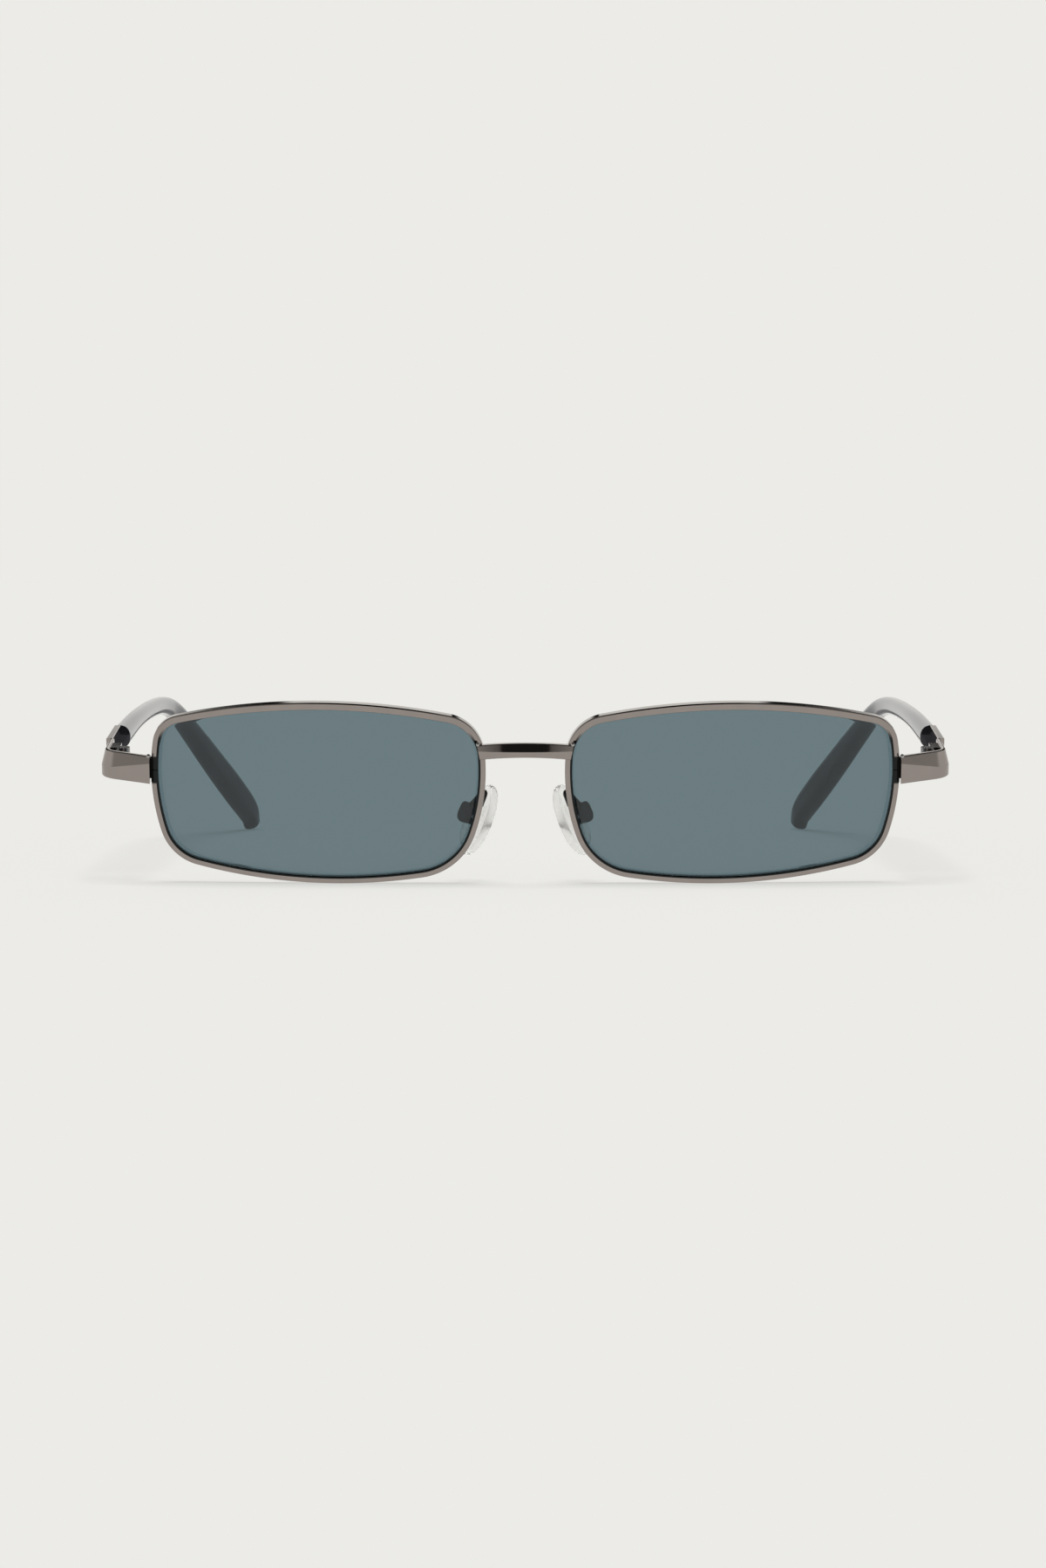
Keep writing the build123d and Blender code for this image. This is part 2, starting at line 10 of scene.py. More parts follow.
import bpy
import numpy as np
from bpy.props import FloatProperty, FloatVectorProperty, PointerProperty
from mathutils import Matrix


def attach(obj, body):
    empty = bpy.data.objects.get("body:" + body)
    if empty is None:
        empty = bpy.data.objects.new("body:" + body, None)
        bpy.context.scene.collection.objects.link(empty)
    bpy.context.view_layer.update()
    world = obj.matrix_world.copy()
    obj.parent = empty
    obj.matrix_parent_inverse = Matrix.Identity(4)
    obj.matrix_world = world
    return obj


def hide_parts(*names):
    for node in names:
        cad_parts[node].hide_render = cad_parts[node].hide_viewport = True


bl_info = {
    "name": "Narrow rectangle sunglasses",
    "version": (1, 0, 0),
    "blender": (4, 5, 0),
    "location": "3D View > Sidebar > Sunglasses",
    "description": "Builds thin metal sunglasses around their packed frame, piece by piece",
    "category": "Add Mesh",
}

MM = 0.001

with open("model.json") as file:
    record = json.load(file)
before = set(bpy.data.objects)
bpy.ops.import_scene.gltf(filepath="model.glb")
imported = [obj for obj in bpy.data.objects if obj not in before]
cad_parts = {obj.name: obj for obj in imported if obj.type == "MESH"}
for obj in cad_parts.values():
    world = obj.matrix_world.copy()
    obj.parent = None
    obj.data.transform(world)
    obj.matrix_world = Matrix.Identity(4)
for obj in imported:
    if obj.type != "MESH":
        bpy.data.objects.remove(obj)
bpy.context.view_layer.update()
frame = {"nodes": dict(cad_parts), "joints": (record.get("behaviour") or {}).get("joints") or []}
fold = next(joint for joint in frame["joints"] if joint["name"] == "temple_left_fold")


def length(name, millimetres, description):
    """A length, named here in millimetres and kept in metres."""
    return FloatProperty(
        name=name, default=millimetres * MM, description=description, unit="LENGTH", precision=5)


def place(name, millimetres, description):
    """A place in the plane or in space, named here in millimetres and kept in metres."""
    return FloatVectorProperty(
        name=name, size=len(millimetres), default=tuple(c * MM for c in millimetres),
        description=description, unit="LENGTH")


def share(name, value, description):
    """A plain share between nothing and one."""
    return FloatProperty(
        name=name, default=value, description=description, min=0.0, max=1.0, subtype="FACTOR")


def angle(name, degrees, description):
    """An angle, named here in degrees and kept in radians."""
    return FloatProperty(name=name, default=np.radians(degrees), description=description, subtype="ANGLE")


def tint(name, colour, description):
    """A colour with linear components."""
    return FloatVectorProperty(name=name, size=3, default=colour, description=description, subtype="COLOR")


class RimSizes(bpy.types.PropertyGroup):
    top_nose: place("Top nose corner", (7.66, 27.35), "Upper corner of the outer line at the bridge")
    top_side: place("Top side corner", (61.75, 27.03), "Upper corner of the outer line at the temple")
    low_side: place("Low side corner", (59.5, 3.58), "Lower corner of the outer line at the temple")
    low_nose: place("Low nose corner", (11.41, 1.89), "Lower corner of the outer line beside the nose")
    bows: place("Bows", (3.6, 2.05, 2.72, 2.6), "How far the top, temple, low and nose sides bow out")
    rounds: place("Rounds", (7.6, 5.25, 8.1, 10.8), "Radii of the four corners, in the order above")
    width: length("Band width", 1.22, "Width of the rim seen from the front")
    depth: length("Band depth", 2.1, "Depth of the rim from front to back")
    front_round: length("Front edge", 0.2, "Radius of the two front edges")
    back_round: length("Back edge", 0.12, "Radius of the two back edges")
    bowl_radius: length("Bowl radius", 135.0, "Radius of the shallow bowl that each lens lies on")
    wrap: angle("Wrap", 3.5, "How far each lens turns round the face")
    split_height: length("Split height", 18.6, "Where the rim is split behind the end piece")
    split_gap: length("Split gap", 0.12, "Gap left at the split")
    # How far the painted shade at the split reaches along the rim, standing in for the shade in the gap
    # there.
    split_shade_run: length("Split shade run", 2.4, "How far the painted shade runs from the split")


class LensSizes(bpy.types.PropertyGroup):
    set_back: length("Set back", 0.95, "How far behind the rim's front the lens lies")
    thickness: length("Thickness", 1.5, "Thickness of the lens")
    tuck: length("Tuck", 0.2, "How far the edge of the lens reaches into the rim's groove")
    edge_round: length("Edge", 0.1, "Radius of the lens's polished edges")


class BridgeSizes(bpy.types.PropertyGroup):
    half_length: length("Half length", 8.05, "From the middle to an end, along the upper edge")
    end_slant: length("End slant", 0.5, "How much shorter the lower edge is at each end")
    middle_low: length("Middle low", 21.81, "Lower edge in the middle")
    middle_high: length("Middle high", 24.17, "Upper edge in the middle")
    end_low: length("End low", 21.3, "Lower edge at an end")
    end_high: length("End high", 23.66, "Upper edge at an end")
    ridge: length("Ridge", 22.75, "Height of the soft ridge along its front")
    front: length("Front", -0.9, "How far behind the rims' front its own front lies, in the middle")
    bow: length("Bow", 0.8, "How far its ends lie behind its middle")
    thickness: length("Thickness", 1.6, "Front to back")
    facet: angle("Facet", 18.0, "How far the front leans back above the ridge")
    ridge_round: length("Ridge round", 2.0, "Radius of the ridge")
    edge_round: length("Edge", 0.25, "Radius of its front edges")


class EndpieceSizes(bpy.types.PropertyGroup):
    start_x: length("Start across", 63.0, "Where the strip starts beside the rim")
    start_y: length("Start back", 3.815, "How far back the strip starts")
    sweep: angle("Sweep", 14.5, "How far the strip leans back on its way out")
    outer_x: length("Outer side", 71.5, "Distance of the outer side from the middle")
    side_z: length("Height", 19.35, "Height of its middle line at the side")
    height: length("Tall", 4.7, "Height of the strip")
    thickness: length("Thickness", 1.4, "Thickness of the strip")
    crease_start: length("Crease start", 1.15, "How far the crease lies above the middle line at first")
    crease_end: length("Crease end", -0.45, "How far it lies above the middle line from the corner on")
    crease_run: share("Crease run", 0.42, "Share of the strip's way over which the crease sinks")
    facet: angle("Facet", 14.0, "How far the face leans back above the crease")
    crease_round: length("Crease round", 0.35, "Radius of the crease")
    edge_round: length("Edge", 0.3, "Radius of its outer edges")
    corner_radius: length("Corner", 3.4, "Radius of the turn")
    rise: angle("Rise", 4.6, "How steeply the front part rises on its way out")
    hinge_y: length("Hinge", 14.8, "How far back the hinge pin stands")
    hinge_drop: length("Hinge drop", 0.45, "How far the middle of the hinge lies below the middle line")
    stop_ahead: length("Stop", 1.25, "How far behind the pin the strip ends")


class TempleSizes(bpy.types.PropertyGroup):
    stop_gap: length("Stop gap", 0.12, "Gap between end piece and temple")
    plate_thickness: length("Plate thickness", 1.1, "Thickness of the metal front")
    plate_length: length("Plate length", 12.9, "Length of the metal front")
    plate_back_height: length("Plate back height", 4.15, "Height where it meets the plastic")
    plate_back_drop: length("Plate back drop", 0.14, "How far its middle drops by there")
    plate_round: length("Plate edge", 0.35, "Radius of its outer edges")
    reach: length("Reach", 106.0, "Length of the plastic arm, straight back")
    drop: length("Drop", 40.36, "How far the ear tip lies below the front end")
    tuck: length("Tuck", 14.6, "How far the ear tip turns in towards the head")
    tip_height: length("Tip height", 6.4, "Height of the arm at its widest")
    thickness: length("Thickness", 3.0, "Thickness of the arm at its thickest")
    outer_share: share("Outer round", 0.3, "Radius of the arm's outer edges as a share of its thickness")
    inner_share: share("Inner round", 0.66, "Radius of the arm's inner edges as a share of its thickness")
    heading: share("Heading", 0.4, "How much of the heading stays straight back where the arm points down")
    tip_round: length("Tip round", 0.6, "Radius of the edges of the ear tip's end")


class PadSizes(bpy.types.PropertyGroup):
    middle: place("Middle", (7.95, 8.6, 9.1), "Middle of the cushion")
    splay: angle("Splay", 28.0, "How far the cushion opens towards the wearer")
    slant: angle("Slant", 23.0, "How far the cushion leans out at its foot")
    height: length("Height", 12.8, "Height of the cushion")
    width: length("Width", 7.3, "Width of the cushion")
    thickness: length("Thickness", 2.2, "Thickness of the cushion")


class SolderSizes(bpy.types.PropertyGroup):
    radius: length("Radius", 0.36, "Radius of a bead")
    at_bridge: place("At the bridge", (-0.15, 0.0, 0.25), "From the upper corner of the bridge to its bead")
    at_end: place("At the end piece", (0.15, 0.35, 0.05), "From the strip's upper inner corner to its bead")


class FinishColours(bpy.types.PropertyGroup):
    gunmetal: tint("Gunmetal", (0.315, 0.278, 0.26), "Polished plating of rims, bridge, strips and plates")
    groove_and_split_shade: tint("Groove and split shade", (0.02, 0.022, 0.022), "Painted shade in the rim's lens groove and at its split")
    # Painted shade, near black, for the shade in the rims' lens grooves and in the gap at their split.
    fitting: tint("Fitting", (0.035, 0.035, 0.038), "Dark satin plating of the small fittings, also painted shade on the rim locks")
    # Dark satin of the fittings. On the rim locks this darkness is also painted shade for the gap round them.
    hinge: tint("Hinge", (0.27, 0.26, 0.26), "Plating of the hinge leaves, brighter where they rub")
    fastener: tint("Fastener", (0.42, 0.41, 0.40), "Plain steel of the screws")
    lens: tint("Lens", (0.144, 0.211, 0.240), "What the lens lets through")
    plastic: tint("Plastic", (0.010, 0.010, 0.013), "Glossy plastic of the arms")
    silicone: tint("Silicone", (0.97, 0.97, 0.96), "Clear silicone of the nose pads")


class StudioSettings(bpy.types.PropertyGroup):
    backdrop: tint("Backdrop", (0.838, 0.831, 0.800), "Colour of floor and background")
    distance: length("Distance", 641.3, "From the camera back to the hinge pins")
    camera_height: length("Camera height", 51.5, "Height of the camera above the floor")
    pitch: angle("Pitch", 3.158, "How far the camera looks down")
    lens: FloatProperty(name="Focal length", default=86.49, unit="CAMERA",
                        description="Focal length in millimetres")
    shift: FloatProperty(name="Shift", default=-0.001473,
                         description="How far the middle lies aside, as a share of the longer side")
    sky_level: share("Sky", 0.30, "Share of the plain light that comes from all round")
    softness: angle("Softness", 34.0, "How wide the overhead light looks from the glasses")
    floor_glow: share("Floor glow", 0.62, "Share of the floor's light that no shadow takes away")


class SunglassesSettings(bpy.types.PropertyGroup):
    rim: PointerProperty(type=RimSizes)
    lens: PointerProperty(type=LensSizes)
    bridge: PointerProperty(type=BridgeSizes)
    endpiece: PointerProperty(type=EndpieceSizes)
    temple: PointerProperty(type=TempleSizes)
    pad: PointerProperty(type=PadSizes)
    solder: PointerProperty(type=SolderSizes)
    finish: PointerProperty(type=FinishColours)
    studio: PointerProperty(type=StudioSettings)


def settings():
    """All sizes and colours that belong to this scene."""
    return bpy.context.scene.sunglasses


def set_down(points):
    """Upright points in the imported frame: y and z turn by the lean, then all move to meet the joint."""
    lean_sin, lean_cos = -fold["axis"][1], fold["axis"][2]
    end = settings().endpiece

    def leaned(x, y, z):
        return np.stack([x, y * lean_cos - z * lean_sin, y * lean_sin + z * lean_cos], -1)

    hinge = leaned(0.0, end.hinge_y, end.side_z - end.hinge_drop)
    joint = np.array([0.0, *fold["pos_m"][1:]])
    return leaned(*np.moveaxis(np.asarray(points, float), -1, 0)) + joint - hinge


def normalised(vectors):
    """Each vector divided by its own length."""
    return vectors / np.linalg.norm(vectors, axis=-1, keepdims=True)


def corner_arcs(corners, back, on, radii, steps):
    """For each corner the start, points and end of its arc: they slide evenly from one side to the other."""
    half_angle = np.arccos(np.clip((back * on).sum(-1, keepdims=True), -1, 1)) / 2
    centres = corners + normalised(back + on) * radii / np.sin(half_angle)
    run = radii / np.tan(half_angle)
    first, last = corners + back * run, corners + on * run
    turn = (np.pi - 2 * half_angle)[:, None, :]
    part = np.linspace(0, 1, steps + 1)[None, :, None]
    spokes = np.sin((1 - part) * turn) * (first - centres)[:, None]
    spokes = spokes + np.sin(part * turn) * (last - centres)[:, None]
    return first, centres[:, None] + spokes / np.sin(turn), last


def rounded_loop(corners, radii, steps=6, ease=0.03 * MM):
    """A closed loop with its corners turned on arcs. One more point each side of an arc keeps flats flat."""
    corners, radii = np.asarray(corners, float), np.asarray(radii, float)[:, None]
    back = normalised(np.roll(corners, 1, 0) - corners)
    on = normalised(np.roll(corners, -1, 0) - corners)
    first, arcs, last = corner_arcs(corners, back, on, radii, steps)
    arcs = np.concatenate([(first + back * ease)[:, None], arcs, (last + on * ease)[:, None]], 1)
    return arcs.reshape(-1, 2)


def rounded_path(points, radius, steps):
    """An open line through space with each inner corner turned on an arc, as a strip is bent."""
    points = np.asarray(points, float)
    back, on = normalised(points[:-2] - points[1:-1]), normalised(points[2:] - points[1:-1])
    arcs = corner_arcs(points[1:-1], back, on, radius, steps)[1]
    return np.concatenate([points[:1], arcs.reshape(-1, 3), points[-1:]])


def box_corners(width, height):
    """The four corners of a rectangle about the middle, from the upper one at +X round by the top."""
    return [(way * width / 2, rise * height / 2) for way, rise in ((1, 1), (-1, 1), (-1, -1), (1, -1))]


def path_lengths(points):
    """The length run along a line, or along the mean of a grid's lines, at each of its points."""
    steps = np.linalg.norm(np.diff(points, axis=0), axis=-1)
    return np.concatenate([[0], np.cumsum(steps.reshape(len(steps), -1).mean(1))])


def signed_volume(points, faces):
    """About six times the volume that four-sided faces shut in, below nothing where they face inward."""
    a, b, c, d = (points[faces[:, column]] for column in range(4))
    return (np.cross(c - a, d - b) * (a - points.mean(0))).sum()


def skin(grid, ends=("flat", "flat")):
    """A closed tube from a grid of points, rings along it and points round it, with its faces outward.

    Each end is "flat" for one plain face, or a point that the last ring runs in to.
    Its UV is the length run along the tube and round it, in metres.
    """
    rings, sides = grid.shape[:2]
    ring, side = np.meshgrid(np.arange(rings - 1), np.arange(sides), indexing="ij")
    after = (side + 1) % sides
    quads = np.stack([ring * sides + side, (ring + 1) * sides + side, (ring + 1) * sides + after,
                      ring * sides + after], -1).reshape(-1, 4)
    along = path_lengths(grid)
    around = path_lengths(np.concatenate([grid, grid[:, :1]], 1).swapaxes(0, 1))
    corners = np.stack([ring, ring + 1, ring + 1, ring], -1), np.stack([side, side, side + 1, side + 1], -1)
    uv = np.stack([along[corners[0]], around[corners[1]]], -1).reshape(-1, 4, 2)
    points = grid.reshape(-1, 3)
    outward = signed_volume(points, quads) > 0
    if not outward:
        quads, uv = quads[:, ::-1], uv[:, ::-1]
    faces, face_uv = [quads.tolist()], [uv.reshape(-1, 2)]
    for place, end in enumerate(ends):
        rim = np.arange(sides) + (rings - 1) * sides * place
        rim = rim if bool(place) == outward else rim[::-1]
        if isinstance(end, str):
            faces.append([rim.tolist()])
            face_uv.append(np.tile([along[-1] * place, 0.0], (sides, 1)))
        else:
            fan = np.stack([rim, np.roll(rim, -1), np.full(sides, len(points))], -1)
            points = np.concatenate([points, [end]])
            faces.append(fan.tolist())
            face_uv.append(np.tile([along[-1] * place, 0.0], (3 * sides, 1)))
    return points, [face for part in faces for face in part], np.concatenate(face_uv)


def add_piece(name, surface, material, body, nodes):
    """One object from one skin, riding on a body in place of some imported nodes."""
    points, faces, uv = surface
    mesh = bpy.data.meshes.new(name)
    mesh.from_pydata(points.tolist(), [], faces)
    mesh.uv_layers.new(name="Surface").data.foreach_set("uv", uv.astype(np.float32).ravel())
    mesh.shade_smooth()
    mesh.set_sharp_from_angle(angle=np.radians(38))
    mesh.materials.append(material)
    mesh.validate()
    piece = bpy.data.objects.new(name, mesh)
    bpy.context.scene.collection.objects.link(piece)
    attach(piece, body)
    if nodes:
        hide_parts(*nodes)


def add_pair(name, grid, material, body, nodes, poles=("flat", "flat")):
    """The piece for the wearer's left as worked out, and its mirror image for the right."""
    for side, flip in (("left", 1.0), ("right", -1.0)):
        mirror = np.array([flip, 1.0, 1.0])
        ends = [end if isinstance(end, str) else set_down(end) * mirror for end in poles]
        own_body = body if body == "front" else body + "_" + side
        add_piece(name + "_" + side, skin(set_down(grid) * mirror, ends), material, own_body,
                  [node + "_" + side for node in nodes])


def bowed_circle(start, end, bow):
    """Centre and radius of the arc between two points that bows out by that much, to the left of its way."""
    run = end - start
    chord = np.linalg.norm(run)
    outward = np.array([-run[1], run[0]]) / chord
    radius = (chord ** 2 / 4 + bow ** 2) / (2 * bow)
    return (start + end) / 2 - outward * (radius - bow), radius


def inner_touch(first, second, radius, near):
    """Centre of the circle of that radius that touches both circles from inside, nearest to a point."""
    (centre_a, radius_a), (centre_b, radius_b) = first, second
    reach_a, reach_b = radius_a - radius, radius_b - radius
    apart = np.linalg.norm(centre_b - centre_a)
    way = (centre_b - centre_a) / apart
    along = (reach_a ** 2 - reach_b ** 2 + apart ** 2) / (2 * apart)
    off = np.sqrt(reach_a ** 2 - along ** 2) * np.array([-way[1], way[0]])
    touches = (centre_a + along * way + off, centre_a + along * way - off)
    return min(touches, key=lambda point: np.linalg.norm(point - near))


def outline_spokes(open_at_split):
    """The rim's outer line as arrays: the arc centre, radius and outward direction at each of its points.

    Four bowed sides are joined by four arcs. An open line runs from under the split round to above it.
    """
    rim = settings().rim
    corners = [np.array(list(c)) for c in (rim.top_nose, rim.top_side, rim.low_side, rim.low_nose)]
    sides = [bowed_circle(corners[k], corners[(k + 1) % 4], rim.bows[k]) for k in range(4)]
    turns = [(inner_touch(sides[k - 1], sides[k], radius, corners[k]), radius)
             for k, radius in enumerate(rim.rounds)]

    def heading(centre, target):
        return np.arctan2(*(target - centre)[::-1])

    arcs = []
    for k in range(4):
        centre, radius = turns[k]
        arcs.append((centre, radius, heading(sides[k - 1][0], centre), heading(sides[k][0], centre), 28))
        centre, radius = sides[k]
        first, last = (heading(centre, turns[j % 4][0]) for j in (k, k + 1))
        arcs.append((centre, radius, first, last, 72))
    if open_at_split:
        centre, radius, first, last, count = arcs[3]
        upper, lower = (np.arcsin((rim.split_height + way * rim.split_gap / 2 - centre[1]) / radius)
                        for way in (1, -1))
        ends = (centre, radius, lower, last, count), (centre, radius, first, upper, 24)
        arcs = [ends[0], *arcs[4:], *arcs[:3], ends[1]]
    rows = []
    for place, (centre, radius, first, last, count) in enumerate(arcs):
        sweep = (last - first + np.pi) % (2 * np.pi) - np.pi
        whole = open_at_split and place == len(arcs) - 1
        turn = first + sweep * np.linspace(0, 1, count, endpoint=whole)
        rows.append(np.stack(np.broadcast_arrays(*centre, radius, np.cos(turn), np.sin(turn)), -1))
    rows = np.concatenate(rows)
    return rows[:, :2], rows[:, 2:3], rows[:, 3:]


def bowl_y(x, z, set_back):
    """How far back the shallow bowl lies at a point: its centre less the height of a sphere there."""
    rim = settings().rim
    middle_x, middle_z = (rim.top_nose[0] + rim.top_side[0]) / 2, (rim.top_nose[1] + rim.low_nose[1]) / 2
    across = x - middle_x + rim.bowl_radius * np.sin(rim.wrap)
    return rim.bowl_radius * np.cos(rim.wrap) - np.sqrt(
        (rim.bowl_radius - set_back) ** 2 - across ** 2 - (z - middle_z) ** 2)


def rim_grid():
    """The rim band: each profile point moves in along its spoke from the outer line, and back by the bowl."""
    rim = settings().rim
    centres, radii, spokes = outline_spokes(open_at_split=True)
    profile = rounded_loop([(0, 0), (rim.width, 0), (rim.width, rim.depth), (0, rim.depth)],
                           [rim.front_round, rim.front_round, rim.back_round, rim.back_round])
    flat = centres[:, None] + (radii[:, None] - profile[None, :, :1]) * spokes[:, None]
    y = bowl_y(flat[..., 0], flat[..., 1], profile[None, :, 1])
    return np.stack([flat[..., 0], y, flat[..., 1]], -1)


def lens_grid():
    """The lens: rings shrink from its edge to the middle, on the bowl's front and again on its back."""
    rim, lens = settings().rim, settings().lens
    centres, radii, spokes = outline_spokes(open_at_split=False)
    edge = centres + (radii - rim.width + lens.tuck) * spokes
    middle = (edge.max(0) + edge.min(0)) / 2
    front = lens.set_back
    back = front + lens.thickness
    half = np.linalg.norm(edge - middle, axis=-1).min()
    turn = np.linspace(0, np.pi / 2, 5)
    inward = np.concatenate([np.linspace(0.02, 0.96, 14), 1 - lens.edge_round / half * (1 - np.sin(turn))])
    set_back = np.concatenate([np.full(14, front), front + lens.edge_round * (1 - np.cos(turn))])
    inward = np.concatenate([inward, inward[::-1]])
    set_back = np.concatenate([set_back, (front + back - set_back)[::-1]])
    flat = middle + inward[:, None, None] * (edge - middle)[None]
    y = bowl_y(flat[..., 0], flat[..., 1], set_back[:, None])
    grid = np.stack([flat[..., 0], y, flat[..., 1]], -1)
    poles = [np.array([middle[0], bowl_y(middle[0], middle[1], set_back[0 if k == 0 else -1]), middle[1]])
             for k in range(2)]
    return grid, poles


def bridge_grid():
    """The bridge bar: a section with one ridge, whose edges follow two arcs, laid on a bow seen from above.

    How far back a point lies is the bow's radius less the height there of the circle within its depth.
    """
    bridge = settings().bridge
    run = np.linspace(-1, 1, 49)
    rise = 1 - run ** 2
    lean = np.tan(bridge.facet)
    loops = []
    for low, high in zip(bridge.end_low + (bridge.middle_low - bridge.end_low) * rise,
                         bridge.end_high + (bridge.middle_high - bridge.end_high) * rise):
        back = lean * (high - bridge.ridge)
        thick = bridge.thickness
        corners = [(0, low), (0, bridge.ridge), (back, high), (thick, high), (thick, low)]
        loops.append(rounded_loop(corners, [bridge.edge_round, bridge.ridge_round, bridge.edge_round,
                                            0.12 * MM, 0.12 * MM], steps=8))
    depth, z = np.moveaxis(np.stack(loops), -1, 0)
    low, high = z.min(1, keepdims=True), z.max(1, keepdims=True)
    x = run[:, None] * (bridge.half_length - bridge.end_slant * (high - z) / (high - low))
    radius = (bridge.half_length ** 2 + bridge.bow ** 2) / (2 * bridge.bow)
    y = bridge.front + radius - np.sqrt((radius - depth) ** 2 - x ** 2)
    return np.stack([x, y, z], -1)


def endpiece_grid():
    """The end piece: a section with one crease, carried out, round the corner and back to the hinge.

    The face is upright below the crease and leans back above it. The crease sinks evenly towards the corner.
    The whole strip rises by the tangent of the rise, and its inner end is square to the front.
    """
    end = settings().endpiece
    corner_y = end.start_y + (end.outer_x - end.start_x) * np.tan(end.sweep)
    path = rounded_path([(end.start_x, end.start_y, 0), (end.outer_x, corner_y, 0),
                         (end.outer_x, end.hinge_y + end.stop_ahead, 0)], end.corner_radius, steps=28)
    path = np.concatenate([np.linspace(path[0], path[1], 12, endpoint=False), path[1:-2],
                           np.linspace(path[-2], path[-1], 12)])
    way = normalised(np.gradient(path, axis=0))
    inward = np.stack([-way[:, 1], way[:, 0], np.zeros(len(way))], -1)
    run = path_lengths(path)
    half = end.height / 2
    sections = []
    left = np.clip(1 - run / run[-1] / end.crease_run, 0, 1)
    for crease in end.crease_end + (end.crease_start - end.crease_end) * left:
        back = np.tan(end.facet) * (half - crease)
        sections.append(rounded_loop([(back, half), (0, crease), (0, -half), (end.thickness, -half),
                                      (end.thickness, half)],
                                     [end.edge_round, end.crease_round, end.edge_round, 0.12 * MM, 0.12 * MM],
                                     steps=7))
    sections = np.stack(sections)
    grid = path[:, None] + inward[:, None] * sections[..., :1]
    grid[..., 0] = np.maximum(grid[..., 0], end.start_x)
    grid[..., 2] = end.side_z + sections[..., 1] + (grid[..., 0] - end.outer_x) * np.tan(end.rise)
    return grid


def plate_grid():
    """The temple's metal front: a rounded section that loses height evenly on its way back."""
    end, temple = settings().endpiece, settings().temple
    part = np.linspace(0, 1, 14)
    heights = end.height + (temple.plate_back_height - end.height) * part
    loops = np.stack([rounded_loop(box_corners(temple.plate_thickness, height), [temple.plate_round / 2] * 4)
                      for height in heights])
    y = end.hinge_y + end.stop_ahead + temple.stop_gap + temple.plate_length * part
    x = end.outer_x - temple.plate_thickness / 2 + loops[..., 0]
    z = end.side_z - temple.plate_back_drop * part[:, None] + loops[..., 1]
    return np.stack([x, y[:, None] + 0 * x, z], -1)


REACH = (0.0, 0.254, 0.549, 0.706, 0.770, 0.833, 0.902, 0.957, 0.992, 1.0)
DROP = (0.0, 0.056, 0.157, 0.234, 0.300, 0.435, 0.635, 0.811, 0.925, 1.0)
TUCK = (0.0, -0.01, 0.0, 0.05, 0.13, 0.30, 0.57, 0.82, 0.965, 1.0)
TALL = (0.64, 0.50, 0.50, 0.56, 0.62, 0.74, 0.88, 0.92, 0.84, 0.66)
THICK = (0.915, 0.93, 0.93, 0.93, 0.95, 1.0, 1.0, 1.0, 0.98, 0.93)


def eased(lengths, values, at):
    """A smooth curve through the values: a cubic on each span, whose slopes are shared at the stations."""
    values = np.asarray(values, float)
    shape = (-1,) + (1,) * (values.ndim - 1)
    slopes = np.gradient(values, axis=0) / np.gradient(lengths).reshape(shape)
    span = np.clip(np.searchsorted(lengths, at, side="right") - 1, 0, len(lengths) - 2)
    run = (lengths[span + 1] - lengths[span]).reshape(shape)
    part = (at - lengths[span]).reshape(shape) / run
    weight = 2 * part ** 3 - 3 * part ** 2 + 1
    lead = (part ** 3 - 2 * part ** 2 + part) * run * slopes[span]
    trail = (part ** 3 - part ** 2) * run * slopes[span + 1]
    return values[span] * weight + values[span + 1] * (1 - weight) + lead + trail


def arm_grid():
    """The plastic arm: a section, rounder on its inner side, carried along an eased line to the ear tip.

    Its sides keep part of their heading straight back, so that it doesn't spin where it points down.
    """
    end, temple = settings().endpiece, settings().temple
    first = np.array([end.outer_x - temple.thickness * THICK[0] / 2,
                      end.hinge_y + end.stop_ahead + temple.stop_gap + temple.plate_length,
                      end.side_z - temple.plate_back_drop])
    moves = np.stack([-temple.tuck * np.array(TUCK), temple.reach * np.array(REACH),
                      -temple.drop * np.array(DROP)], -1)
    points = first + moves
    lengths = path_lengths(points)
    turn = np.linspace(0, np.pi / 2, 9)
    at = np.concatenate([[0, 0.08 * MM, 0.25 * MM], np.linspace(0, lengths[-1] - temple.tip_round, 170)[1:],
                         lengths[-1] - temple.tip_round * (1 - np.sin(turn[1:]))])
    centres = eased(lengths, points, at)
    way = normalised(np.gradient(centres, axis=0))
    way[:2] = (0, 1, 0)
    across = np.cross(way + np.array([0.0, temple.heading, 0.0]), np.array([0.0, 0.0, 1.0]))
    across = normalised(across - way * (across * way).sum(-1, keepdims=True))
    up = np.cross(across, way)
    height = temple.tip_height * eased(lengths, TALL, at)
    thickness = temple.thickness * eased(lengths, THICK, at)
    shrink = np.zeros(len(at))
    shrink[:2] = (0.16 * MM, 0.05 * MM)
    shrink[-8:] = 2 * temple.tip_round * (1 - np.cos(turn[1:]))
    loops = []
    for wide, tall in zip(thickness - shrink, height - shrink):
        outer, inner = wide * temple.outer_share, min(wide * temple.inner_share, 0.45 * tall)
        loops.append(rounded_loop(box_corners(wide, tall), [outer, inner, inner, outer], steps=10))
    loops = np.stack(loops)
    return centres[:, None] + across[:, None] * loops[..., :1] + up[:, None] * loops[..., 1:]


def bead_grid(centre, radius):
    """A round bead of solder: rings between two poles, each a circle as wide as the sine of its turn."""
    lift = np.linspace(0.15, np.pi - 0.15, 12)[:, None]
    turn = np.linspace(0, 2 * np.pi, 20, endpoint=False)[None]
    ring = np.stack([np.sin(lift) * np.cos(turn), np.sin(lift) * np.sin(turn), np.cos(lift) + 0 * turn], -1)
    poles = [centre + np.array([0, 0, way * radius]) for way in (1, -1)]
    return centre + radius * ring, poles


